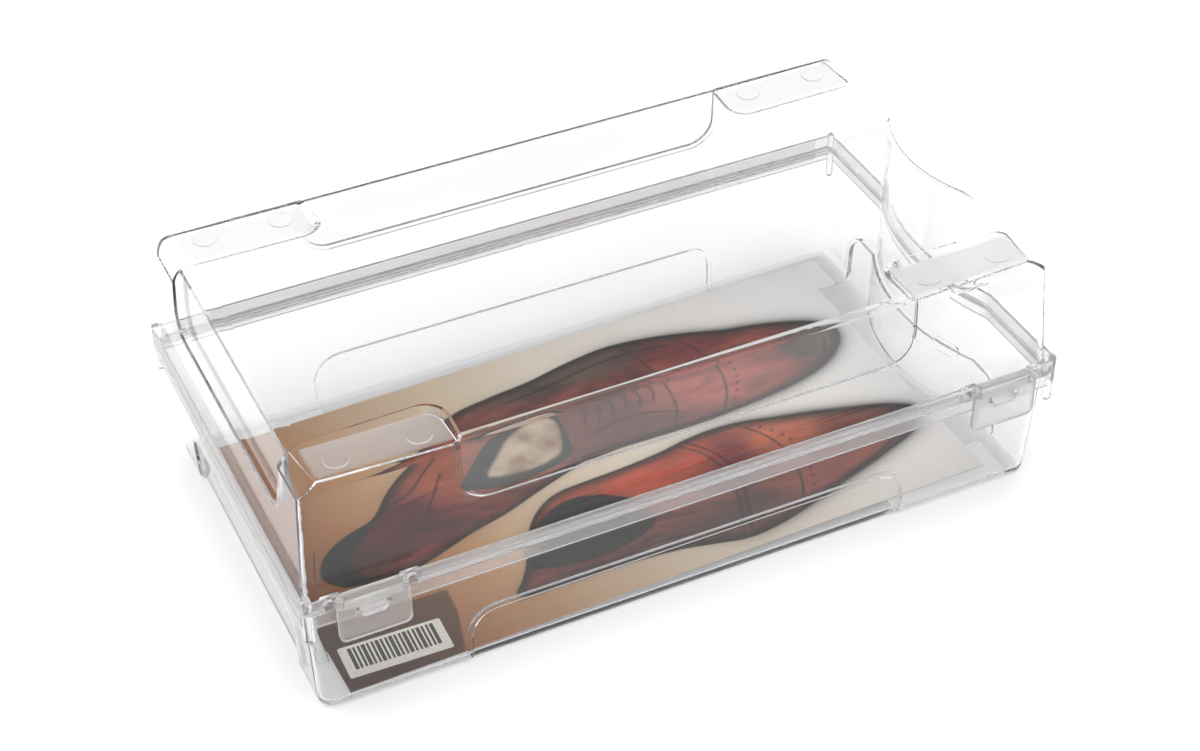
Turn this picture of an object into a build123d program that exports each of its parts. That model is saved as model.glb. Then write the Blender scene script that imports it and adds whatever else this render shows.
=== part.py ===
"""Clear hinged shoe box: a base tray and a lid of equal depth that meet at a flanged rim.

Frame: +X right along the front, +Y to the back, +Z up, with the box standing on z = 0 and the
origin under the middle of the closed box, latches and hinge included.
The lid turns on a film hinge behind the back rim, and two latches hang from the front of the lid.
The sizes below are measured from the middle of the rim, which lies MIDDLE_Y behind the origin.
"""

import os

from build123d import *

# ---- driving dimensions, in millimetres ----------------------------------------------------
RIM_HALF_X = 170.5        # half the length over the rim
RIM_HALF_Y = 96.0         # half the width over the rim
HEIGHT = 118.0            # closed height
SEAM_Z = 60.0             # where the base and the lid meet
SEAM_GAP = 0.15           # half the gap between the two rims
MIDDLE_Y = 1.5            # from the origin back to the middle of the rim
WALL = 1.6                # thickness of the moulded walls
FLOOR_TOP = 2.8           # upper face of the base's floor

# wall outline at three levels: reach to the left, reach to the right, half width, corner radius,
# grip depth and half grip width
FOOT_PLAN = (165.2, 166.4, 90.4, 7.0, 11.8, 41.0)
RIM_PLAN = (168.2, 168.6, 91.8, 4.5, 10.0, 44.0)
TOP_PLAN = (164.6, 164.2, 89.0, 5.4, 12.4, 38.0)
KINK_RADIUS = 6.0         # where the grip recess runs into the end wall
INNER_RADIUS_MIN = 2.6    # least radius of corners and kinks on inner outlines
LONG_EDGE_RADIUS = 4.6    # rounding of the bottom and top edges along the long walls
END_EDGE_RADII = (
    (6.5, 9.0),           # rounding of the bottom edges along the left and right ends
    (11.0, 13.0),         # rounding of the top edges along the left and right ends
)
ROUND_MARGIN = 0.3        # how far the end rounding stands outside the wall it blends into

# rim flange
LIP_HEIGHT = 6.5          # height of each lip above or below the seam
LIP_THICK = 1.3
WEB_THICK = 1.25
RIM_CORNER_RADIUS = 4.0
LIP_GRIP = (9.6, 44.0)    # depth and half width of the grip recess in the lips
LUG_SIZE = 3.8            # square corner posts
LUG_REACH = 170.2         # outer X face of the posts
LUG_LID_TOP = 68.2
LUG_BASE_BOTTOM = 44.5

# shallow panels between the corners
LONG_PANEL_DEPTH = 1.4
LID_END_PANEL_DEPTH = 3.2
BASE_END_PANEL_DEPTH = 2.4
LONG_PANEL_HALF = 100.0
END_PANEL_HALF = 64.0
PANEL_CORNER = 12.0
BASE_PANEL_TOP = 26.5
BASE_END_PANEL_TOP = 30.0
LID_PANEL_BOTTOM = 88.0
LID_END_PANEL_BOTTOM = 86.5
FOOT_STEP = 1.0           # how far the corner feet stand below the floor

# stacking pads on the lid, deepest at their inner corners
PAD_SINK = 2.4
PAD_TILT = (2.9, 1.1)     # degrees that a pad rises outwards along the width and the length
PAD_RAMP = 2.6            # width of the slope around a pad
PAD_INNER_X = 101.0
PAD_INNER_Y = 65.5
PAD_CORNER = 8.0
BOSS_RADIUS = 5.2
BOSS_RISE = 0.6
BOSS_X = (112.3, 145.7)
BOSS_Y = 77.9

# embossed pill on the grip end of the base
PILL_LENGTH = 14.0
PILL_HEIGHT = 7.0
PILL_CENTRE = (-29.0, 30.0)
PILL_RISE = 0.5

# latches
LATCH_X = 142.6           # distance of each latch from the middle
PIVOT_Y = -96.6
PIVOT_Z = 65.0
BARREL_SIZE = 3.8
BARREL_CORNER = 0.9
BARREL_HALF = 11.9
PIN_RADIUS = 1.2
PIN_HALF = 14.2
EAR_START = 12.4
EAR_WIDTH = 2.3
EAR_RADIUS = 2.1
PIN_CLEARANCE = 0.05
NOTCH_BOTTOM = 62.2       # lower edge of the gap in the lid's lip that a barrel turns in
CHEEK_WIDTH = 8.0         # thicker stretch of the lip from each ear outwards
CHEEK_TOP = 67.1
CHEEK_RISE = 0.5          # how far it stands out on both faces of the lip
PLATE_HALF = 15.0
PLATE_BACK_Y = -97.3
PLATE_THICK = 1.3
PLATE_TOP_Z = 62.7
PLATE_BOTTOM_Z = 44.3
PLATE_CORNER = 3.2
BORDER_WIDTH = 1.3
BORDER_RISE = 0.7
RIB_Z = (60.8, 61.9)      # low ribs across the top of the plate
RIB_WIDTH = 0.5
RIB_RISE = 0.35
WINDOW_HALF = 7.4
WINDOW_Z = (57.0, 60.0)
CATCH_HALF = 5.5
CATCH_Z = (54.6, 59.6)
CATCH_CHAMFER = 1.5       # slanted lower corners of the catch
CATCH_NOSE_Y = -99.2
CATCH_LEAD = 2.6          # height of the slope that pushes the latch outwards
CATCH_CLEARANCE = 0.5     # between the catch and the window's lower part
ARCH_INNER = 15.0         # arched openings in the lid's lip beside each latch
ARCH_WIDTH = 4.2
ARCH_Z = (60.7, 65.5)

# film hinge behind the back rim
FILM_THICK = 0.4
FILM_HALF_LENGTH = 160.0
FILM_HEIGHT = 5.0
FILM_GAP = 0.1            # from each leaf to the line it bends on

# printed insert card on the floor
CARD_LENGTH = 302.0
CARD_WIDTH = 165.0
CARD_THICK = 0.5
CARD_CENTRE = (-3.0, -1.0)
CARD_TURN = 1.2


def blend_plan(low, high, share):
    """Outline numbers part of the way from one level to another."""
    return tuple(a + (b - a) * share for a, b in zip(low, high))


def base_plan(z):
    """Outline numbers of the base's wall at height z."""
    return blend_plan(FOOT_PLAN, RIM_PLAN, z / SEAM_Z)


def lid_plan(z):
    """Outline numbers of the lid's wall at height z."""
    return blend_plan(RIM_PLAN, TOP_PLAN, (z - SEAM_Z) / (HEIGHT - SEAM_Z))


def outline(plan, inset, z):
    """Flat outline moved inwards by inset: a rounded rectangle with the grip recess in its +X side."""
    left, right, half_y, radius, depth, half_grip = plan
    grip_radius = (half_grip**2 + depth**2) / (2 * depth)
    grip_x = right - depth + grip_radius
    side_x = right - inset
    side_y = half_y - inset
    corner = max(radius - inset, INNER_RADIUS_MIN)
    flat = Pos((right - left) / 2, 0) * RectangleRounded(left + right - 2 * inset, 2 * side_y, corner)
    flat -= Pos(grip_x, 0) * Circle(grip_radius + inset)
    kinks = [v for v in flat.vertices() if abs(v.Y) < side_y - corner - 1 and v.X > side_x - 1]
    return Pos(0, 0, z) * fillet(kinks, max(KINK_RADIUS - inset, INNER_RADIUS_MIN))


def tapered(plan_at, inset, z_low, z_high):
    """Solid between two levels of a tapering wall, moved inwards by inset."""
    faces = [outline(plan_at(z), inset, z) for z in (z_low, z_high)]
    return loft(faces, ruled=True)


def rounded_block(plan_at, inset, z_low, z_high, closed_end):
    """Tapered solid whose closed end, the lowest (0) or highest (-1) level, has rounded edges."""
    block = tapered(plan_at, inset, z_low, z_high)
    radius = max(LONG_EDGE_RADIUS - inset, 2.0)
    return fillet(block.edges().group_by(Axis.Z)[closed_end], radius)


def end_rounding(plan_at, inset, z_low, z_high, closed_end):
    """Prism across the width that rounds the closed end's two short edges."""
    margin = inset - ROUND_MARGIN
    low = plan_at(z_low)
    high = plan_at(z_high)
    outer = Polyline((margin - low[0], z_low), (low[1] - margin, z_low), (high[1] - margin, z_high),
                     (margin - high[0], z_high), close=True)
    face = make_face(outer)
    for end, radius in enumerate(END_EDGE_RADII[closed_end]):
        corner = face.vertices().group_by(Axis.Y)[closed_end].sort_by(Axis.X)[-end]
        face = fillet(corner, radius - inset)
    return extrude(Plane.XZ * face, amount=120, both=True)


def shell_half(plan_at, levels, hollow_levels, closed_end, panels, sinks=()):
    """One half of the box: an even wall that follows every panel and pad on both of its faces.

    panels holds (block maker, depth) pairs, and sinks holds cutter makers for the closed end.
    """
    outer = rounded_block(plan_at, 0, *levels, closed_end)
    outer &= end_rounding(plan_at, 0, *levels, closed_end)
    hollow = rounded_block(plan_at, WALL, *hollow_levels, closed_end)
    hollow &= end_rounding(plan_at, WALL, *hollow_levels, closed_end)
    for make_block, depth in panels:
        outer -= make_block(0) - rounded_block(plan_at, depth, *levels, closed_end)
        hollow -= make_block(WALL) - rounded_block(plan_at, depth + WALL, *hollow_levels, closed_end)
    for make_cutter in sinks:
        outer -= make_cutter(0)
        hollow -= make_cutter(WALL)
    return outer - hollow


def prism(low, high):
    """Box between two corners."""
    size = [b - a for a, b in zip(low, high)]
    centre = [(a + b) / 2 for a, b in zip(low, high)]
    return Pos(*centre) * Box(*size)


def rounded_slab(plane, width, low, high, depth, corner):
    """Block with rounded corners, seen square on in plane, reaching depth to both sides."""
    sketch = plane * Pos(0, (low + high) / 2) * RectangleRounded(2 * width, high - low, corner)
    return extrude(sketch, amount=depth, both=True)


def long_panel(low, high):
    """Maker of the block that marks the shallow panels of both long walls."""
    return lambda grow: rounded_slab(Plane.XZ, LONG_PANEL_HALF + grow, low - grow, high + grow, 120,
                                     PANEL_CORNER + grow)


def end_panel(low, high, shift=0):
    """Maker of the block that marks the panels of the end walls, or of one when it is shifted."""
    return lambda grow: Pos(shift, 0, 0) * rounded_slab(Plane.YZ, END_PANEL_HALF + grow, low - grow,
                                                        high + grow, 200, PANEL_CORNER + grow)


def flange(z_web, z_lip_low, z_lip_high):
    """Rim flange: a flat web out to a thin lip that stands along its outer edge."""
    edge = (RIM_HALF_X, RIM_HALF_X, RIM_HALF_Y, RIM_CORNER_RADIUS, *LIP_GRIP)
    rim = extrude(outline(edge, 0, z_web), amount=WEB_THICK)
    rim -= extrude(outline(RIM_PLAN, WALL / 2, z_web - 1), amount=WEB_THICK + 2)
    height = z_lip_high - z_lip_low
    lip = extrude(outline(edge, 0, z_lip_low), amount=height)
    lip -= extrude(outline(edge, LIP_THICK, z_lip_low - 1), amount=height + 2)
    return rim + lip


def corner_lugs(z_low, z_high):
    """Upright posts that tie the rim's four corners to the wall."""
    reach_y = LUG_REACH - (RIM_HALF_X - RIM_HALF_Y)
    lugs = []
    for side_x in (-1, 1):
        for side_y in (-1, 1):
            x = side_x * (LUG_REACH - LUG_SIZE / 2)
            y = side_y * (reach_y - LUG_SIZE / 2)
            post = Pos(x, y, (z_low + z_high) / 2) * Box(LUG_SIZE, LUG_SIZE, z_high - z_low)
            post = fillet(post.edges().filter_by(Axis.Z), 1.2)
            lugs.append(fillet(post.edges().group_by(Axis.Z)[0 if z_low < SEAM_Z else -1], 0.9))
    return lugs


def make_base():
    """Base tray: tapering walls, grip recess, floor with four feet, rim flange and two catches."""
    top_z = SEAM_Z - SEAM_GAP
    panels = [
        (long_panel(-40, BASE_PANEL_TOP), LONG_PANEL_DEPTH),
        (end_panel(-40, BASE_END_PANEL_TOP), BASE_END_PANEL_DEPTH),
    ]
    shell = shell_half(base_plan, (0, top_z), (FLOOR_TOP, SEAM_Z + 2), 0, panels)
    shell -= prism((-LONG_PANEL_HALF, -120, -1), (LONG_PANEL_HALF, 120, FOOT_STEP))
    shell -= prism((-200, -END_PANEL_HALF, -1), (200, END_PANEL_HALF, FOOT_STEP))
    shell += flange(top_z - WEB_THICK, SEAM_Z - LIP_HEIGHT, top_z)
    for lug in corner_lugs(LUG_BASE_BOTTOM, top_z):
        shell += lug - tapered(base_plan, WALL / 2, LUG_BASE_BOTTOM - 2, SEAM_Z + 1)
    for side in (-1, 1):
        shell += make_catch(side * LATCH_X)
    return shell + make_pill()


def catch_outline(x, grow):
    """Front outline of a catch, with slanted lower corners, grown by grow."""
    low, high = CATCH_Z
    half = CATCH_HALF + grow
    left = [(x - half, high), (x - half, low + CATCH_CHAMFER), (x - half + CATCH_CHAMFER, low - grow)]
    right = [(2 * x - px, pz) for px, pz in reversed(left)]
    return Plane.XZ * make_face(Polyline(*left, *right, close=True))


def make_catch(x):
    """Catch on the base's lip that a latch's window drops over."""
    low, high = CATCH_Z
    lip_y = -RIM_HALF_Y + LIP_THICK / 2
    side = Polyline((lip_y, high), (-RIM_HALF_Y, high), (CATCH_NOSE_Y, high - CATCH_LEAD),
                    (CATCH_NOSE_Y, low), (lip_y, low), close=True)
    wedge = extrude(Plane.YZ.offset(x) * make_face(side), amount=CATCH_HALF + 1, both=True)
    return wedge & extrude(catch_outline(x, 0), amount=120, both=True)


def make_pill():
    """Raised pill-shaped pad on the outer face of the grip end."""
    y, z = PILL_CENTRE
    pill = extrude(Plane.YZ.offset(150) * Pos(y, z) * SlotOverall(PILL_LENGTH, PILL_HEIGHT), amount=20)
    skin = tapered(base_plan, BASE_END_PANEL_DEPTH - PILL_RISE, 10, 50)
    skin -= tapered(base_plan, BASE_END_PANEL_DEPTH + 0.2, 9, 51)
    return pill & skin


def make_lid():
    """Lid: tapering walls, sunk stacking pads with round bosses, rim flange and latch ears."""
    bottom_z = SEAM_Z + SEAM_GAP
    panels = [
        (long_panel(LID_PANEL_BOTTOM, 160), LONG_PANEL_DEPTH),
        (end_panel(LID_END_PANEL_BOTTOM, 160, -200), LID_END_PANEL_DEPTH),
    ]
    corners = [(side_x, side_y) for side_x in (-1, 1) for side_y in (-1, 1)]
    pads = [pad_cutter(side_x, side_y) for side_x, side_y in corners]
    shell = shell_half(lid_plan, (bottom_z, HEIGHT), (SEAM_Z - 2, HEIGHT - WALL), -1, panels, pads)
    for side_x, side_y in corners:
        shell += pad_bosses(side_x, side_y)
    rim = flange(bottom_z, bottom_z, SEAM_Z + LIP_HEIGHT)
    for side in (-1, 1):
        rim += lip_cheeks(side * LATCH_X)
        rim -= lip_arches(side * LATCH_X)
        rim -= barrel_notch(side * LATCH_X)
    shell += rim
    for lug in corner_lugs(bottom_z, LUG_LID_TOP):
        shell += lug - tapered(lid_plan, WALL / 2, SEAM_Z - 1, LUG_LID_TOP + 2)
    for side in (-1, 1):
        shell += latch_ears(side * LATCH_X)
        shell -= pin_holes(side * LATCH_X)
    return shell


def pad_place(side_x, side_y):
    """Location of one pad's inner corner, tilted so that the pad rises outwards."""
    tilt_y, tilt_x = PAD_TILT
    corner = Pos(side_x * PAD_INNER_X, side_y * PAD_INNER_Y, HEIGHT - PAD_SINK)
    return corner * Rot(side_y * tilt_y, -side_x * tilt_x, 0)


def pad_cutter(side_x, side_y):
    """Maker of the sloping-sided cutter for the sunk pad at one corner of the lid's top."""
    reach = 120.0

    def cutter(grow):
        faces = []
        for z, slope in ((0, 0.0), (2 * PAD_SINK, 2 * PAD_RAMP)):
            middle = reach / 2 - slope - grow
            square = RectangleRounded(reach, reach, PAD_CORNER + slope)
            faces.append(Pos(side_x * middle, side_y * middle, z - grow) * square)
        return pad_place(side_x, side_y) * loft(faces, ruled=True)

    return cutter


def pad_bosses(side_x, side_y):
    """Two low round bosses on one stacking pad."""
    root = 0.3
    bosses = []
    for boss_x in BOSS_X:
        centre = Pos(side_x * (boss_x - PAD_INNER_X), side_y * (BOSS_Y - PAD_INNER_Y), (BOSS_RISE - root) / 2)
        boss = pad_place(side_x, side_y) * centre * Cylinder(BOSS_RADIUS, BOSS_RISE + root)
        bosses.append(fillet(boss.edges().sort_by(Axis.Z)[-1], BOSS_RISE * 0.7))
    return bosses


def lip_cheeks(x):
    """Thicker and slightly higher stretches of the lid's lip on both sides of a latch."""
    cheeks = []
    for side in (-1, 1):
        centre = x + side * (EAR_START + CHEEK_WIDTH / 2)
        cheek = prism((centre - CHEEK_WIDTH / 2, -RIM_HALF_Y - CHEEK_RISE, SEAM_Z + SEAM_GAP),
                      (centre + CHEEK_WIDTH / 2, -RIM_HALF_Y + LIP_THICK + CHEEK_RISE, CHEEK_TOP))
        cheeks.append(fillet(cheek.edges().group_by(Axis.Z)[-1].filter_by(Axis.Y), 1.0))
    return cheeks


def lip_arches(x):
    """Arched openings through the lid's lip on both sides of a latch."""
    low, high = ARCH_Z
    arches = []
    for side in (-1, 1):
        centre = x + side * (ARCH_INNER + ARCH_WIDTH / 2)
        radius = ARCH_WIDTH / 2
        shape = Rectangle(ARCH_WIDTH, high - radius - low, align=(Align.CENTER, Align.MIN))
        shape += Pos(0, high - radius - low) * Circle(radius)
        block = extrude(Plane.XZ * Pos(centre, low) * shape, amount=4, both=True)
        arches.append(Pos(0, -RIM_HALF_Y, 0) * block)
    return arches


def barrel_notch(x):
    """Gap in the lid's lip that a latch's barrel turns in."""
    return prism((x - EAR_START, -RIM_HALF_Y - 2, NOTCH_BOTTOM),
                 (x + EAR_START, -RIM_HALF_Y + 3, CHEEK_TOP + 1))


def latch_ears(x):
    """Two ears at the ends of the notch that carry a latch's pivot pins."""
    ears = []
    for side in (-1, 1):
        turn = Pos(x + side * (EAR_START + EAR_WIDTH / 2), PIVOT_Y, PIVOT_Z) * Rot(0, 90, 0)
        ears.append(turn * Cylinder(EAR_RADIUS, EAR_WIDTH))
    return ears


def pin_holes(x):
    """Holes for a latch's pivot pins through the ears and the cheeks behind them."""
    turn = Pos(x, PIVOT_Y, PIVOT_Z) * Rot(0, 90, 0)
    return turn * Cylinder(PIN_RADIUS + PIN_CLEARANCE, 2 * (EAR_START + EAR_WIDTH))


def make_latch(x):
    """Latch: barrel with pivot pins above a bordered plate with a window for the catch."""
    front_y = PLATE_BACK_Y - PLATE_THICK
    plate = latch_plate(PLATE_HALF, PLATE_BOTTOM_Z, PLATE_CORNER, PLATE_BACK_Y, front_y)
    border = latch_plate(PLATE_HALF, PLATE_BOTTOM_Z, PLATE_CORNER, front_y, front_y - BORDER_RISE)
    border -= latch_plate(PLATE_HALF - BORDER_WIDTH, PLATE_BOTTOM_Z + BORDER_WIDTH,
                          PLATE_CORNER - BORDER_WIDTH, front_y + 1, front_y - 2)
    latch = plate + border
    pivot = Pos(0, PIVOT_Y, PIVOT_Z) * Rot(0, 90, 0)
    barrel = extrude(RectangleRounded(BARREL_SIZE, BARREL_SIZE, BARREL_CORNER), BARREL_HALF, both=True)
    latch += pivot * barrel
    latch += pivot * Cylinder(PIN_RADIUS, 2 * PIN_HALF)
    latch += prism((-BARREL_HALF, front_y - BORDER_RISE, PLATE_TOP_Z - 1),
                   (BARREL_HALF, PLATE_BACK_Y, PIVOT_Z))
    inner_half = PLATE_HALF - BORDER_WIDTH / 2
    for z in RIB_Z:
        latch += prism((-inner_half, front_y - RIB_RISE, z), (inner_half, front_y + 0.2, z + RIB_WIDTH))
    latch -= prism((-WINDOW_HALF, front_y - 3, WINDOW_Z[0]), (WINDOW_HALF, PLATE_BACK_Y + 1, WINDOW_Z[1]))
    latch -= extrude(catch_outline(0, CATCH_CLEARANCE), amount=120, both=True)
    return Pos(x, 0, 0) * latch


def latch_plate(half, bottom, corner, back_y, front_y):
    """Plate between two depths, square at the top and rounded at its bottom corners."""
    height = PLATE_TOP_Z - bottom
    shape = Pos(0, bottom + height / 2) * Rectangle(2 * half, height)
    low_corners = shape.vertices().sort_by(Axis.Y)[:2]
    shape = fillet(low_corners, corner)
    return extrude(Plane.XZ.offset(-back_y) * shape, amount=back_y - front_y)


def make_film_leaf(side):
    """One leaf of the film hinge, above (+1) or below (-1) the line it bends on."""
    near = SEAM_Z + side * FILM_GAP
    far = SEAM_Z + side * FILM_HEIGHT
    return prism((-FILM_HALF_LENGTH, RIM_HALF_Y, min(near, far)),
                 (FILM_HALF_LENGTH, RIM_HALF_Y + FILM_THICK, max(near, far)))


def make_card():
    """Printed insert card lying on the floor, a little askew."""
    card = extrude(RectangleRounded(CARD_LENGTH, CARD_WIDTH, 1.5), amount=CARD_THICK)
    return Pos(*CARD_CENTRE, FLOOR_TOP) * Rot(0, 0, CARD_TURN) * card


def main():
    os.makedirs("parts", exist_ok=True)
    parts = {
        "base_tray": make_base(),
        "lid_cover": make_lid(),
        "hinge_film_lower": make_film_leaf(-1),
        "hinge_film_upper": make_film_leaf(1),
        "left_latch": make_latch(-LATCH_X),
        "right_latch": make_latch(LATCH_X),
        "insert_card": make_card(),
    }
    for name, shape in parts.items():
        export_step(Pos(0, MIDDLE_Y, 0) * shape, f"parts/{name}.step")


main()
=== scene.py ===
"""Looks for the clear hinged shoe box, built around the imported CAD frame. Metres, Z up.

The shells and latches keep their CAD meshes and get plastic materials. The film hinge and the
insert card are rebuilt here, and a blank striped label lies on the card.
"""
import math

import bpy
import numpy as np
from mathutils import Matrix, Vector


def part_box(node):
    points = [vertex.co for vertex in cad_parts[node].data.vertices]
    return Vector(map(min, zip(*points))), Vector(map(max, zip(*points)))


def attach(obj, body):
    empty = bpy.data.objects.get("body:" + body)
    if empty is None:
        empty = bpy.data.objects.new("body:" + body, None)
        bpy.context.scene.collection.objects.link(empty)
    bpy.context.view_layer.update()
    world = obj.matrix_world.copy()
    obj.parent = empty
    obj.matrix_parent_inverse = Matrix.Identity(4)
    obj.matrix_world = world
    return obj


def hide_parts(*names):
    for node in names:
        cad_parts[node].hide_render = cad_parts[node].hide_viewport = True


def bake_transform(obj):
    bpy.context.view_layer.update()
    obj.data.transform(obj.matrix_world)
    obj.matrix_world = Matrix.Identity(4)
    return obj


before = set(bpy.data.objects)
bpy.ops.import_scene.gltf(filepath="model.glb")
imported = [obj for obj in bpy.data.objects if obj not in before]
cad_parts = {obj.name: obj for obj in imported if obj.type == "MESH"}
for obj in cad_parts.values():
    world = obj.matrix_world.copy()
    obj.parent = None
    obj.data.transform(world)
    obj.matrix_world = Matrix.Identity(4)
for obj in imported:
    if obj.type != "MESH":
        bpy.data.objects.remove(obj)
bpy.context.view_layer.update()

MM = 0.001
RIM_MIDDLE_Y = 1.5 * MM   # how far the middle of the rim lies behind the origin
SEAM_HEIGHT = 60 * MM     # height at which the base's rim and the lid's rim meet

# ---- plastic -----------------------------------------------------------------------------------
CLARITY = 0.993           # share of the plastic that is clear rather than white
LIP_HAZE = 0.10           # shares of white that are added in the zones of clear_plastic
PAD_HAZE = 0.05
PANEL_HAZE = 0.05
CATCH_HAZE = 0.30
UNDERSIDE_HAZE = 0.20
NOISE_LOW, NOISE_HIGH = 0.3, 0.7   # range that covers most of a noise

# ---- camera: a catalogue view from the left of the front, looking down on the lid ------------
CAMERA_HEADING = math.radians(25.2)
CAMERA_TILT = math.radians(39.32)
CAMERA_ROLL = math.radians(-0.52)
CAMERA_PLACE = Vector((-0.3437, -0.7294, 0.7099))
CAMERA_LENS = 72.1
CAMERA_SENSOR = 36.0
CAMERA_NEAR = 0.01

# ---- light: sky brightness against the sine of the height above the horizon -----------------
SKY_LEVELS = ((0.0, 0.56), (0.45, 0.56), (0.54, 0.30), (0.74, 0.30), (0.9, 1.0))
SKY_STRENGTH = 1.68
KEY_ENERGY = 6.0
KEY_SIZE = 1.6
KEY_PLACE = (-0.5, -0.3, 1.9)
KEY_TURN = (math.radians(9), math.radians(-15), 0)
FLOOR_REACH = 6.0
FLOOR_GLOW = 0.18
LIGHT_BOUNCES = 96        # a ray crosses many walls before it leaves the box
TRANSPARENT_BOUNCES = 32

# ---- insert card, in millimetres from its middle: u along its length, v across --------------
CARD_LENGTH = 302.0
CARD_WIDTH = 165.0
CARD_TURN = math.radians(1.2)
CARD_LIFT = 0.05
PRINT_STEP = 1.0

BACK_SHOE = [
    (-137, -17), (-134, -8), (-128, -2), (-121, 2), (-113, 5), (-106, 7), (-100, 12), (-94, 19),
    (-85, 27), (-72, 36), (-60, 46), (-45, 55), (-25, 58.5), (-5, 60.5), (15, 64.5), (35, 67),
    (50, 66), (65, 63), (80, 58.5), (95, 53), (110, 49.5), (125, 44.5), (136, 39), (142.5, 32),
    (141.5, 25), (136, 18), (128, 12), (116, 7), (100, 3.5), (80, 1), (55, -0.5), (30, 0),
    (10, 0.5), (-10, -2), (-30, -8), (-50, -15), (-70, -20), (-85, -25), (-100, -29), (-116, -29),
    (-130, -26),
]
FRONT_SHOE = [
    (-68, -63), (-62, -55), (-54, -43), (-46, -28), (-36, -18), (-25, -13), (-10, -12), (5, -11.5),
    (25, -10), (40, -7.5), (55, -6.5), (70, -8), (85, -12), (100, -16), (115, -20.5), (130, -25.5),
    (140, -30), (145, -35), (143, -42), (136, -48.5), (125, -53), (110, -58), (95, -62.5),
    (80, -67.5), (65, -72), (50, -75.5), (35, -76.5), (20, -73), (5, -69.5), (-15, -67.5),
    (-35, -66.5), (-55, -66),
]
BACK_OPENING = [
    (-62, 8), (-52, 20), (-38, 32), (-20, 39), (-5, 38), (-3, 29), (-5, 16), (-8, 7), (-25, 2),
    (-45, 1),
]
BACK_INSOLE = [(-48, 10), (-40, 20), (-28, 31), (-12, 36), (-5, 31), (-8, 18), (-14, 9), (-30, 6)]
FRONT_OPENING = [
    (-57, -50), (-50, -38), (-40, -26), (-28, -20), (-16, -20), (-4, -26), (6, -36), (6, -47),
    (-6, -55), (-25, -57.5), (-43, -56),
]
HEEL_CUP = [
    (-137, -17), (-134, -8), (-128, -2), (-121, 2), (-113, 5), (-106, 6), (-110, 0), (-117, -6),
    (-124, -14), (-120, -24), (-112, -29), (-130, -26),
]
CORNER_PATCH = [(-152, -44), (-93, -46), (-94, -60), (-101, -84), (-152, -84)]
# thin dark lines on the shoes, and rows of punched dots that are drawn as short dashes
SEAMS = [
    [(36, -10), (44, -20), (47, -34), (43, -54), (34, -75)],
    [(40, -9), (48, -20), (51, -34), (47, -53), (38, -74)],
    [(40, 1), (48, 13), (51, 28), (50, 46), (44, 65)],
    [(66, -8), (75, -22), (78, -38), (74, -55), (66, -70)],
    [(66, 1), (75, 15), (79, 31), (76, 47), (68, 61)],
    [(4, 14), (18, 18), (31, 18), (42, 14), (48, 12)],
    [(108, 6), (122, 13), (132, 22), (136, 36)],
    [(96, -60), (114, -54), (132, -46)],
    [(-96, 12), (-84, 16), (-72, 26), (-60, 36)],
    [(-98, -12), (-86, -4), (-76, 8), (-66, 22)],
    [(-48, -60), (-26, -62), (-4, -61), (18, -63), (40, -68)],
    [(-20, 51), (2, 53), (24, 57), (46, 58), (66, 55)],
]
LACES = [[(6 + 7 * i, 23), (9 + 7 * i, 29), (8 + 7 * i, 36)] for i in range(6)]
PUNCHED_ROWS = [
    [(73, -12), (82, -24), (84, -38), (80, -54), (73, -66)],
    [(73, 5), (82, 17), (86, 31), (83, 45), (75, 57)],
]
DOT_REACH = 0.4           # half of a punched dot's length along u and along v
SHADE_REACH = 3.2         # how fast the shadow around a shoe fades
SHADE_START = 10.0        # the shadow gets stronger from here towards the toes, over this span
SHADE_SPAN = 90.0
SHADE_LEAST = 0.2

# soft patches of colour on the leather: u, v, reach along u, reach along v, display colour
LEATHER_SPOTS = [
    (-120, -16, 24, 17, (16, 18, 20)), (-92, 0, 28, 26, (74, 22, 34)),
    (-62, 22, 26, 18, (170, 84, 56)), (-30, 18, 28, 24, (138, 96, 76)),
    (20, 20, 34, 24, (106, 58, 50)), (10, 57, 62, 11, (84, 74, 64)),
    (76, 22, 36, 19, (186, 96, 84)), (72, 52, 28, 11, (116, 30, 32)),
    (130, 26, 18, 17, (84, 82, 70)), (-20, -15, 36, 9, (196, 88, 54)),
    (24, -20, 36, 13, (200, 78, 44)), (57, -26, 15, 13, (112, 28, 34)),
    (84, -24, 21, 13, (198, 108, 74)), (118, -36, 24, 13, (96, 48, 38)),
    (137, -40, 13, 11, (58, 54, 44)), (-30, -64, 52, 9, (88, 48, 44)),
    (35, -60, 46, 15, (84, 58, 54)), (85, -54, 24, 13, (134, 60, 50)),
]

LABEL_CENTRE = (-125.4, -67.8)
LABEL_SIZE = (44.6, 18.0)
LABEL_TURN = math.radians(-3.0)
LABEL_GAP = 0.01
LABEL_THICK = 0.08
LABEL_CORNER = 0.6
STRIPE_COUNT = 19
STRIPE_HALF_WIDTHS = (0.8, 0.5, 0.5)   # repeated along the label
STRIPE_END_MARGIN = 4.5
STRIPE_SIDE_MARGIN = 2.8
STRIPE_SHIFT = 1.2                     # the row of stripes lies a little behind the label's middle
INK_THICK = 0.03

# ---- film hinge --------------------------------------------------------------------------------
FILM_STEPS = 40
FILM_GAP = 0.08           # millimetres between the film and the rims in front of it
FILM_THINNING = 0.1       # millimetres that the film is thinner by on its bending line
THIN_REACH = 0.5
CREASE_REACH = 0.9


# ---- node helpers ------------------------------------------------------------------------------
def paint(red, green, blue):
    """Linear colour of a display colour given from 0 to 255."""
    channels = [c / 255 for c in (red, green, blue)]
    linear = [c / 12.92 if c <= 0.04045 else ((c + 0.055) / 1.055) ** 2.4 for c in channels]
    return (*linear, 1.0)


def fill_ramp(ramp, stops):
    """Give a colour ramp its stops, each a position and a colour."""
    points = ramp.elements
    points.remove(points[-1])
    points[0].position, points[0].color = stops[0]
    for position, color in stops[1:]:
        points.new(position).color = color


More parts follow.
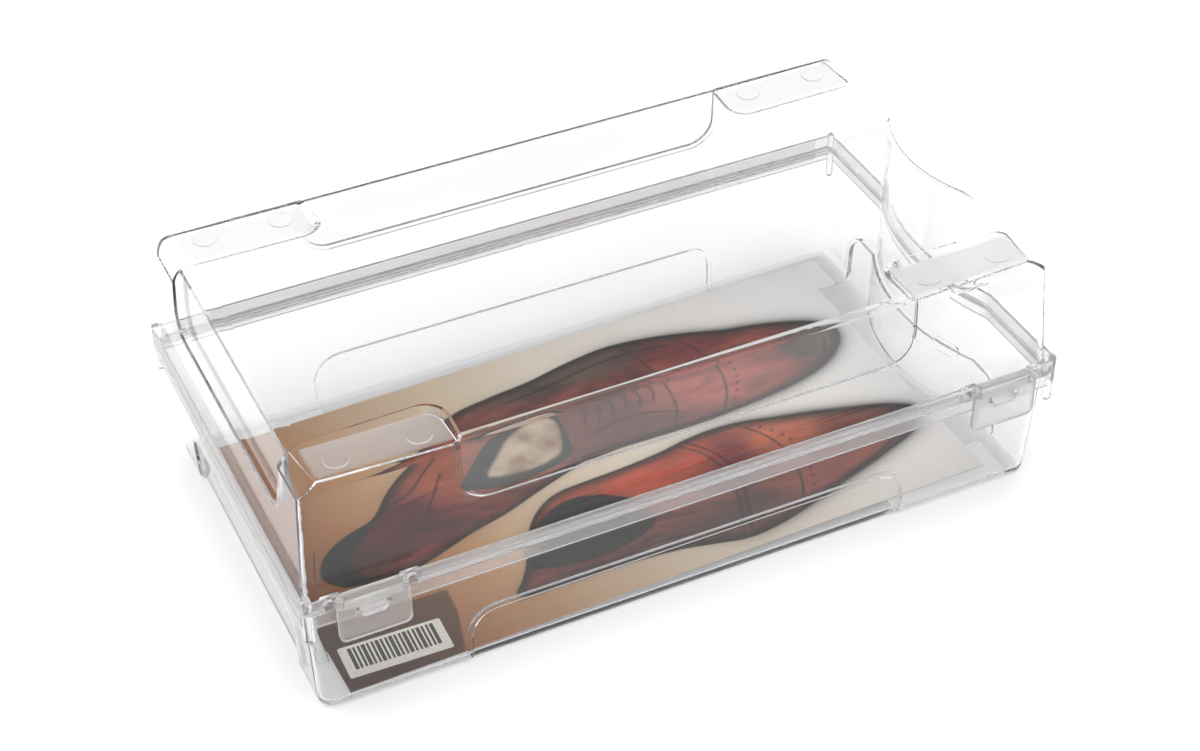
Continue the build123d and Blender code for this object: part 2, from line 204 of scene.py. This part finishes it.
class Graph:
    """A material's node tree with short calls for adding nodes."""

    def __init__(self, name):
        self.material = bpy.data.materials.new(name)
        self.material.use_nodes = True
        self.tree = self.material.node_tree
        self.shader = self.tree.nodes["Principled BSDF"]
        self.output = self.tree.nodes["Material Output"]

    def node(self, kind, inputs=None, **settings):
        """Node of a kind with its inputs set to numbers or linked to sockets."""
        made = self.tree.nodes.new("ShaderNode" + kind)
        for key, value in settings.items():
            setattr(made, key, value)
        for key, value in (inputs or {}).items():
            self.feed(made.inputs[key], value)
        return made

    def feed(self, socket, value):
        if isinstance(value, bpy.types.NodeSocket):
            self.tree.links.new(value, socket)
        else:
            socket.default_value = value

    def place(self):
        return self.node("TexCoord").outputs["Object"]

    def split(self, vector):
        return self.node("SeparateXYZ", {0: vector}).outputs

    def math(self, operation, a, b=0.0):
        return self.node("Math", {0: a, 1: b}, operation=operation).outputs[0]

    def between(self, value, low, high, to_low=0.0, to_high=1.0):
        """Value eased from one range into another, and held at its ends."""
        inputs = {"Value": value, "From Min": low, "From Max": high, "To Min": to_low, "To Max": to_high}
        return self.node("MapRange", inputs, interpolation_type="SMOOTHSTEP").outputs["Result"]

    def rise(self, length, start, full):
        """Mask that eases from 0 to 1 while a length goes from start to full, in millimetres."""
        return self.between(length, start * MM, full * MM)

    def vary(self, noise, low, high):
        """Value that follows a noise from low to high."""
        return self.between(noise, NOISE_LOW, NOISE_HIGH, low, high)

    def all_of(self, first, *others):
        """Product of masks, or of a mask and a number."""
        for other in others:
            first = self.math("MULTIPLY", first, other)
        return first

    def most_of(self, first, *others):
        """Largest of several masks."""
        for other in others:
            first = self.math("MAXIMUM", first, other)
        return first

    def noise(self, vector, scale, detail=3.0, roughness=0.5, distortion=0.0):
        inputs = {
            "Vector": vector, "Scale": scale, "Detail": detail,
            "Roughness": roughness, "Distortion": distortion,
        }
        return self.node("TexNoise", inputs).outputs["Fac"]

    def ramp(self, value, stops):
        made = self.node("ValToRGB", {0: value})
        fill_ramp(made.color_ramp, stops)
        return made.outputs["Color"]

    def tones(self, noise, dark, light):
        """Colour that follows a noise from dark to light."""
        return self.ramp(noise, [(NOISE_LOW, dark), (NOISE_HIGH, light)])

    def mix(self, share, a, b, blend="MIX"):
        return self.node("MixRGB", {0: share, 1: a, 2: b}, blend_type=blend).outputs[0]

    def attribute(self, name):
        return self.node("Attribute", attribute_name=name).outputs["Fac"]

    def stretch(self, vector, scale):
        return self.node("Mapping", {"Vector": vector, "Scale": scale}).outputs["Vector"]

    def bump(self, height, strength, distance):
        inputs = {"Height": height, "Strength": strength, "Distance": distance}
        self.feed(self.shader.inputs["Normal"], self.node("Bump", inputs).outputs["Normal"])

    def set(self, **values):
        for key, value in values.items():
            self.feed(self.shader.inputs[key.replace("_", " ")], value)


# ---- materials ---------------------------------------------------------------------------------
def absorb(graph, color, density):
    """Slight darkening along the long way through a wall, which makes its edges grey."""
    volume = graph.node("VolumeAbsorption", {"Color": color, "Density": density})
    graph.tree.links.new(volume.outputs[0], graph.output.inputs["Volume"])


def clear_plastic():
    """Clear gloss plastic: satin on the rim lips and stacking pads, and slightly white in zones."""
    graph = Graph("clear_plastic")
    place = graph.place()
    x, y, z = graph.split(place)[:3]
    along = graph.math("ABSOLUTE", x)
    across = graph.math("ABSOLUTE", graph.math("SUBTRACT", y, RIM_MIDDLE_Y))
    seam_gap = graph.math("ABSOLUTE", graph.math("SUBTRACT", z, SEAM_HEIGHT))
    outside = graph.most_of(graph.rise(along, 168.4, 168.7), graph.rise(across, 92.2, 92.6))
    lip = graph.all_of(outside, graph.rise(seam_gap, 8.5, 8.2))
    pad = graph.all_of(
        graph.rise(along, 100.6, 101.6), graph.rise(along, 158, 155),
        graph.rise(across, 65.2, 66.2), graph.rise(across, 85.5, 84), graph.rise(z, 113, 113.2),
    )
    panel = graph.all_of(graph.rise(along, 101, 99), graph.rise(z, 87, 89), graph.rise(across, 86, 86.5))
    catch = graph.all_of(graph.rise(across, 96.1, 96.4), graph.rise(z, 60.2, 59.8))
    underside = graph.rise(z, 2.75, 2.6)
    flow = graph.noise(graph.stretch(place, (1.0, 2.2, 2.2)), 14.0, 2.0)
    rough = graph.most_of(
        graph.vary(flow, 0.01, 0.03),
        graph.all_of(lip, graph.vary(flow, 0.22, 0.28)),
        graph.all_of(pad, graph.vary(flow, 0.36, 0.44)),
    )
    haze = graph.most_of(
        graph.all_of(pad, PAD_HAZE), graph.all_of(panel, PANEL_HAZE), graph.all_of(lip, LIP_HAZE),
        graph.all_of(catch, CATCH_HAZE), graph.all_of(underside, UNDERSIDE_HAZE),
    )
    tint = graph.tones(flow, (0.990, 0.990, 0.994, 1), (0.998, 0.998, 0.999, 1))
    graph.set(Base_Color=tint, Roughness=rough, IOR=1.32)
    graph.set(Transmission_Weight=graph.math("SUBTRACT", CLARITY, haze))
    graph.bump(flow, 0.05, 0.4 * MM)
    absorb(graph, (0.72, 0.72, 0.76, 1), 26.0)
    return graph.material


def frosted_plastic():
    """Milky satin plastic of the latches."""
    graph = Graph("frosted_plastic")
    place = graph.place()
    grain = graph.noise(place, 1400.0, 2.0)
    cloud = graph.noise(place, 90.0, 3.0)
    tint = graph.tones(cloud, (0.95, 0.93, 0.91, 1), (0.99, 0.98, 0.97, 1))
    graph.set(Base_Color=tint, Roughness=graph.vary(grain, 0.30, 0.40))
    graph.set(IOR=1.42, Transmission_Weight=0.92)
    graph.bump(grain, 0.08, 0.05 * MM)
    absorb(graph, (0.8, 0.78, 0.76, 1), 12.0)
    return graph.material


def hinge_plastic():
    """Thin film of the hinge, worked a little white along its bending line."""
    graph = Graph("hinge_plastic")
    place = graph.place()
    crease = graph.between(graph.attribute("crease"), 0.0, 1.0)
    cloud = graph.noise(graph.stretch(place, (1.0, 6.0, 6.0)), 60.0, 3.0)
    tint = graph.tones(cloud, (0.92, 0.92, 0.94, 1), (0.97, 0.97, 0.98, 1))
    tint = graph.mix(crease, tint, (0.98, 0.98, 0.98, 1))
    graph.set(Base_Color=tint, Roughness=graph.between(crease, 0.0, 1.0, 0.15, 0.4))
    graph.set(IOR=1.2, Transmission_Weight=0.9)
    graph.bump(cloud, 0.1, 0.1 * MM)
    return graph.material


def background_color(graph, place):
    """Sand colour of the print, dark at the front left and pale at the right."""
    u, v = graph.split(place)[:2]
    slant = graph.math("ADD", u, graph.math("MULTIPLY", v, 0.35))
    slant = graph.math("ADD", slant, graph.math("MULTIPLY", graph.noise(place, 9.0, 2.0), 0.03))
    level = graph.node("MapRange", {"Value": slant, "From Min": -0.150, "From Max": 0.170}).outputs[0]
    stops = [
        (0.0, paint(104, 62, 36)), (0.12, paint(162, 106, 66)), (0.25, paint(192, 148, 108)),
        (0.45, paint(222, 202, 176)), (0.62, paint(243, 231, 215)), (0.8, paint(251, 246, 239)),
        (1.0, paint(254, 252, 250)),
    ]
    return graph.ramp(level, stops)


def leather_color(graph, place):
    """Red-brown leather of the pictured shoes, darker at their edges and toes."""
    streak = graph.noise(graph.stretch(place, (1.0, 3.2, 1.0)), 34.0, 5.0, 0.6, 0.8)
    patch = graph.noise(place, 21.0, 2.0, 0.5, 0.4)
    tone = graph.math("ADD", graph.math("MULTIPLY", streak, 0.55), graph.math("MULTIPLY", patch, 0.6))
    stops = [(0.36, paint(58, 26, 26)), (0.54, paint(112, 48, 40)), (0.78, paint(170, 90, 64))]
    leather = graph.ramp(tone, stops)
    for u, v, reach_u, reach_v, color in LEATHER_SPOTS:
        scale = (1 / (reach_u * MM), 1 / (reach_v * MM), 0)
        shift = (-u / reach_u, -v / reach_v, 0)
        around = graph.node("Mapping", {"Vector": place, "Scale": scale, "Location": shift}).outputs[0]
        gap = graph.node("VectorMath", {0: around}, operation="LENGTH").outputs["Value"]
        leather = graph.mix(graph.between(gap, 1.4, 0.3, 0.0, 0.85), leather, paint(*color))
    stops = [(0.3, (0.55, 0.52, 0.52, 1)), (0.5, (0.95, 0.95, 0.95, 1)), (0.75, (1.3, 1.2, 1.15, 1))]
    leather = graph.mix(1.0, leather, graph.ramp(streak, stops), "MULTIPLY")
    edge = graph.between(graph.attribute("shoe"), 0.0, 7.0)
    return graph.mix(edge, paint(30, 22, 16), leather)


def card_print():
    """Printed face of the insert card: two dress shoes on a sand-coloured ground."""
    graph = Graph("card_print")
    place = graph.node("Attribute", attribute_name="print_place").outputs["Vector"]
    fibre = graph.noise(place, 700.0, 3.0)
    color = background_color(graph, place)
    color = graph.mix(graph.attribute("shade"), color, paint(42, 38, 30))
    patch = graph.between(graph.attribute("corner"), -1.0, 1.0)
    color = graph.mix(graph.math("MULTIPLY", patch, 0.8), color, paint(58, 35, 25))
    shoe = graph.between(graph.attribute("shoe"), -0.6, 0.6)
    color = graph.mix(shoe, color, leather_color(graph, place))
    lining = graph.tones(graph.noise(place, 60.0, 3.0), paint(18, 20, 17), paint(40, 42, 36))
    color = graph.mix(graph.between(graph.attribute("opening"), -0.7, 0.9), color, lining)
    stops = [(0.35, paint(150, 122, 96)), (0.65, paint(206, 184, 160))]
    insole = graph.ramp(graph.noise(place, 80.0, 4.0), stops)
    color = graph.mix(graph.between(graph.attribute("insole"), -1.0, 2.0), color, insole)
    line = graph.math("MULTIPLY", graph.between(graph.attribute("seam"), 1.1, 0.3), shoe)
    color = graph.mix(graph.math("MULTIPLY", line, 0.75), color, paint(38, 20, 18))
    weave = graph.tones(fibre, (0.94, 0.94, 0.94, 1), (1.04, 1.04, 1.04, 1))
    color = graph.mix(1.0, color, weave, "MULTIPLY")
    graph.set(Base_Color=color, Roughness=graph.vary(fibre, 0.4, 0.5), Specular_IOR_Level=0.2)
    graph.bump(fibre, 0.1, 0.03 * MM)
    return graph.material


def plain_paper():
    """Unprinted back and edges of the card."""
    graph = Graph("plain_paper")
    fibre = graph.noise(graph.place(), 500.0, 4.0)
    color = graph.tones(fibre, paint(206, 200, 192), paint(232, 228, 222))
    graph.set(Base_Color=color, Roughness=graph.vary(fibre, 0.6, 0.75))
    graph.bump(fibre, 0.2, 0.04 * MM)
    return graph.material


def label_paper():
    """Off-white paper of the label."""
    graph = Graph("label_paper")
    fibre = graph.noise(graph.place(), 650.0, 3.0)
    color = graph.tones(fibre, paint(226, 220, 208), paint(242, 238, 228))
    graph.set(Base_Color=color, Roughness=graph.vary(fibre, 0.45, 0.55))
    return graph.material


def label_ink():
    """Slightly worn dark ink of the label's stripes."""
    graph = Graph("label_ink")
    wear = graph.noise(graph.place(), 800.0, 3.0)
    color = graph.ramp(wear, [(0.35, paint(24, 20, 18)), (0.75, paint(58, 50, 44))])
    graph.set(Base_Color=color, Roughness=graph.vary(wear, 0.4, 0.6))
    return graph.material


# ---- shapes on the card ------------------------------------------------------------------------
def smooth(points, closed, steps=6):
    """Points along a smooth curve that passes through every given point."""
    given = np.array(points, float)
    count = len(given)
    spans = count if closed else count - 1
    curve = []
    for i in range(spans):
        around = [i - 1, i, i + 1, i + 2]
        around = [j % count if closed else min(max(j, 0), count - 1) for j in around]
        a, b, c, d = given[around]
        for t in np.arange(steps) / steps:
            square, cube = 2 * a - 5 * b + 4 * c - d, 3 * b - 3 * c + d - a
            curve.append(0.5 * (2 * b + (c - a) * t + square * t**2 + cube * t**3))
    if not closed:
        curve.append(given[-1])
    return np.array(curve)


def distance_to(points, line, closed):
    """Distance from each point to a line of straight runs."""
    ends = np.roll(line, -1, axis=0) if closed else line[1:]
    nearest = np.full(len(points), np.inf)
    for a, b in zip(line, ends):
        run = b - a
        share = np.clip((points - a) @ run / max(run @ run, 1e-9), 0, 1)
        nearest = np.minimum(nearest, np.hypot(*(points - a - share[:, None] * run).T))
    return nearest


def signed_distance(points, outline):
    """Distance from each point to a closed outline, positive inside it."""
    inside = np.zeros(len(points), bool)
    for a, b in zip(outline, np.roll(outline, -1, axis=0)):
        level = (a[1] > points[:, 1]) != (b[1] > points[:, 1])
        rise = b[1] - a[1] if b[1] != a[1] else 1e-9
        inside ^= level & (points[:, 0] < (b[0] - a[0]) * (points[:, 1] - a[1]) / rise + a[0])
    gap = distance_to(points, outline, True)
    return np.where(inside, gap, -gap)


def print_fields(points):
    """What the printed face shows at each point, as distances and shares for its material."""
    shoes = [signed_distance(points, smooth(outline, True)) for outline in (BACK_SHOE, FRONT_SHOE)]
    shoe = np.maximum(*shoes)
    shade = np.zeros(len(points))
    share = np.clip((points[:, 0] - SHADE_START) / SHADE_SPAN, 0, 1) * (1 - SHADE_LEAST) + SHADE_LEAST
    for depth in shoes:
        shade = np.maximum(shade, np.exp(-np.clip(-depth, 0, None) / SHADE_REACH) * share)
    dark_shapes = (BACK_OPENING, FRONT_OPENING, HEEL_CUP)
    dark = [signed_distance(points, smooth(shape, True)) for shape in dark_shapes]
    lines = [smooth(line, False) for line in SEAMS + LACES]
    for row in PUNCHED_ROWS:
        lines += [np.array([dot - DOT_REACH, dot + DOT_REACH]) for dot in smooth(row, False, 3)]
    seam = np.min([distance_to(points, line, False) for line in lines], axis=0)
    return {
        "shoe": shoe,
        "shade": shade,
        "opening": np.max(dark, axis=0),
        "insole": signed_distance(points, smooth(BACK_INSOLE, True)),
        "corner": signed_distance(points, np.array(CORNER_PATCH, float)),
        "seam": seam,
    }


# ---- pieces --------------------------------------------------------------------------------------
def new_piece(name, vertices, faces, materials):
    """Object in the scene with a mesh of the given vertices, faces and materials."""
    mesh = bpy.data.meshes.new(name)
    mesh.from_pydata([tuple(v) for v in vertices], [], faces)
    for material in materials:
        mesh.materials.append(material)
    mesh.update()
    piece = bpy.data.objects.new(name, mesh)
    bpy.context.scene.collection.objects.link(piece)
    return piece


def card_frame():
    """Function that gives the place of a point u, v, lift in millimetres on the card's upper face."""
    low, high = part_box("insert_card")
    middle = Vector(((low.x + high.x) / 2, (low.y + high.y) / 2, high.z))
    turn = Matrix.Rotation(CARD_TURN, 3, "Z")
    return lambda u, v, lift: middle + turn @ Vector((u, v, lift)) * MM


def make_card(on_card):
    """Insert card with a printed upper face, standing in for the plain CAD card."""
    low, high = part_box("insert_card")
    thick = (high.z - low.z) / MM - CARD_LIFT
    us = np.linspace(-CARD_LENGTH / 2, CARD_LENGTH / 2, int(CARD_LENGTH / PRINT_STEP) + 1)
    vs = np.linspace(-CARD_WIDTH / 2, CARD_WIDTH / 2, int(CARD_WIDTH / PRINT_STEP) + 1)
    columns, rows = len(us), len(vs)
    flat = np.array([(u, v) for v in vs for u in us])
    ring = list(range(columns)) + [r * columns + columns - 1 for r in range(1, rows)]
    ring += [(rows - 1) * columns + c for c in range(columns - 2, -1, -1)]
    ring += [r * columns for r in range(rows - 2, 0, -1)]
    top = [on_card(u, v, 0) for u, v in flat]
    under = [on_card(*flat[i], -thick) for i in ring]
    faces = []
    for r in range(rows - 1):
        for c in range(columns - 1):
            i = r * columns + c
            faces.append((i, i + 1, i + 1 + columns, i + columns))
    printed = len(faces)
    first = len(top)
    size = len(ring)
    for k in range(size):
        following = (k + 1) % size
        faces.append((ring[following], ring[k], first + k, first + following))
    faces.append(tuple(first + k for k in range(size - 1, -1, -1)))
    card = new_piece("insert_card_print", top + under, faces, [card_print(), plain_paper()])
    mesh = card.data
    mesh.polygons.foreach_set("material_index", [0] * printed + [1] * (len(faces) - printed))
    spots = np.vstack([flat, flat[ring]])
    for name, values in print_fields(spots).items():
        mesh.attributes.new(name, "FLOAT", "POINT").data.foreach_set("value", values.astype(np.float32))
    place = np.column_stack([spots * MM, np.zeros(len(spots))]).astype(np.float32)
    mesh.attributes.new("print_place", "FLOAT_VECTOR", "POINT").data.foreach_set("vector", place.ravel())
    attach(card, "base")
    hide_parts("insert_card")


def slab(on_card, centre, half_size, turn, low, high, corner=0.0):
    """Vertices and faces of a thin upright block on the card, with clipped corners."""
    half_u, half_v = half_size
    quarter = [(half_u - corner, half_v), (half_u, half_v - corner)] if corner else [(half_u, half_v)]
    outline = quarter + [(u, -v) for u, v in reversed(quarter)] + [(-u, -v) for u, v in quarter]
    outline += [(-u, v) for u, v in reversed(quarter)]
    cos, sin = math.cos(turn), math.sin(turn)
    points = [(centre[0] + u * cos - v * sin, centre[1] + u * sin + v * cos) for u, v in outline]
    count = len(points)
    vertices = [on_card(u, v, lift) for lift in (low, high) for u, v in points]
    sides = [(k, k + count, (k + 1) % count + count, (k + 1) % count) for k in range(count)]
    faces = [tuple(range(count)), tuple(range(2 * count - 1, count - 1, -1)), *sides]
    return vertices, faces


def make_label(on_card):
    """Blank label with plain even stripes, stuck on the card's front left corner."""
    half_u, half_v = LABEL_SIZE[0] / 2, LABEL_SIZE[1] / 2
    paper = slab(
        on_card, LABEL_CENTRE, (half_u, half_v), LABEL_TURN, LABEL_GAP, LABEL_THICK, LABEL_CORNER
    )
    label = new_piece("label_paper", *paper, [label_paper()])
    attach(label, "base")
    vertices, faces = [], []
    cos, sin = math.cos(LABEL_TURN), math.sin(LABEL_TURN)
    reach = half_u - STRIPE_END_MARGIN
    ink = (LABEL_TURN, LABEL_THICK, LABEL_THICK + INK_THICK)
    for k in range(STRIPE_COUNT):
        u, v = -reach + 2 * reach * k / (STRIPE_COUNT - 1), STRIPE_SHIFT
        half_width = STRIPE_HALF_WIDTHS[k % len(STRIPE_HALF_WIDTHS)]
        centre = (LABEL_CENTRE[0] + u * cos - v * sin, LABEL_CENTRE[1] + u * sin + v * cos)
        points, sides = slab(on_card, centre, (half_width, half_v - STRIPE_SIDE_MARGIN), *ink)
        faces += [tuple(i + len(vertices) for i in side) for side in sides]
        vertices += points
    stripes = new_piece("label_stripes", vertices, faces, [label_ink()])
    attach(stripes, "base")


def make_hinge():
    """One film strip across the back of both rims, a little thinner along the hinge line."""
    lower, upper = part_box("hinge_film_lower"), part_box("hinge_film_upper")
    left, right = lower[0].x, lower[1].x
    near, far = lower[0].y + FILM_GAP * MM, lower[1].y
    bottom, top = lower[0].z, upper[1].z
    bend = (lower[1].z + upper[0].z) / 2
    heights = [bottom + (top - bottom) * k / FILM_STEPS for k in range(FILM_STEPS + 1)]
    vertices, crease = [], []
    for z in heights:
        inset = math.exp(-(((z - bend) / (THIN_REACH * MM)) ** 2)) * FILM_THINNING * MM
        vertices += [(left, near, z), (right, near, z), (right, far - inset, z), (left, far - inset, z)]
        crease += [math.exp(-(((z - bend) / (CREASE_REACH * MM)) ** 2))] * 4
    faces = [(3, 2, 1, 0)]
    for k in range(FILM_STEPS):
        i = 4 * k
        faces += [(i + a, i + b, i + b + 4, i + a + 4) for a, b in ((0, 1), (1, 2), (2, 3), (3, 0))]
    faces.append(tuple(4 * FILM_STEPS + a for a in range(4)))
    strip = new_piece("hinge_strip", vertices, faces, [hinge_plastic()])
    strip.data.attributes.new("crease", "FLOAT", "POINT").data.foreach_set("value", crease)
    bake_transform(strip)
    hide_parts("hinge_film_lower", "hinge_film_upper")


# ---- stage ---------------------------------------------------------------------------------------
def make_camera():
    """Camera at the catalogue view's place and angle."""
    data = bpy.data.cameras.new("camera")
    data.lens = CAMERA_LENS
    data.sensor_width = CAMERA_SENSOR
    data.clip_start = CAMERA_NEAR
    camera = bpy.data.objects.new("camera", data)
    bpy.context.scene.collection.objects.link(camera)
    look = Matrix.Rotation(-CAMERA_HEADING, 4, "Z") @ Matrix.Rotation(math.pi / 2 - CAMERA_TILT, 4, "X")
    camera.matrix_world = Matrix.Translation(CAMERA_PLACE) @ look @ Matrix.Rotation(CAMERA_ROLL, 4, "Z")
    bpy.context.scene.camera = camera


def make_floor():
    """Plain pale floor, wide enough for every view."""
    corners = [(FLOOR_REACH * x, FLOOR_REACH * y, 0) for x, y in ((-1, -1), (1, -1), (1, 1), (-1, 1))]
    graph = Graph("floor")
    graph.set(Base_Color=(0.97, 0.97, 0.97, 1), Roughness=0.7, Specular_IOR_Level=0.2)
    graph.set(Emission_Color=(1, 1, 1, 1), Emission_Strength=FLOOR_GLOW)
    floor = new_piece("floor", corners, [(0, 1, 2, 3)], [graph.material])


def make_light():
    """Soft studio light from a sky that is bright overhead and dimmer lower down, and one lamp."""
    world = bpy.data.worlds.new("studio")
    world.use_nodes = True
    nodes, links = world.node_tree.nodes, world.node_tree.links
    coordinates = nodes.new("ShaderNodeTexCoord")
    split = nodes.new("ShaderNodeSeparateXYZ")
    ramp = nodes.new("ShaderNodeValToRGB")
    fill_ramp(ramp.color_ramp, [(position, (level, level, level, 1)) for position, level in SKY_LEVELS])
    links.new(coordinates.outputs["Generated"], split.inputs[0])
    links.new(split.outputs["Z"], ramp.inputs[0])
    links.new(ramp.outputs["Color"], nodes["Background"].inputs["Color"])
    nodes["Background"].inputs["Strength"].default_value = SKY_STRENGTH
    bpy.context.scene.world = world
    data = bpy.data.lights.new("key", "AREA")
    data.energy = KEY_ENERGY
    data.size = KEY_SIZE
    key = bpy.data.objects.new("key", data)
    key.location = KEY_PLACE
    key.rotation_euler = KEY_TURN
    bpy.context.scene.collection.objects.link(key)


def set_view():
    """Plain display of colours, and enough bounces for light to cross every wall."""
    scene = bpy.context.scene
    scene.view_settings.view_transform = "Standard"
    scene.cycles.max_bounces = LIGHT_BOUNCES
    scene.cycles.transmission_bounces = LIGHT_BOUNCES
    scene.cycles.glossy_bounces = LIGHT_BOUNCES
    scene.cycles.transparent_max_bounces = TRANSPARENT_BOUNCES


def assign(names, material):
    """Give the named CAD nodes one material."""
    for name in names:
        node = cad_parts[name]
        node.data.materials.clear()
        node.data.materials.append(material)


make_camera()
make_floor()
make_light()
set_view()
assign(["base_tray", "lid_cover"], clear_plastic())
assign(["left_latch", "right_latch"], frosted_plastic())
card_place = card_frame()
make_card(card_place)
make_label(card_place)
make_hinge()
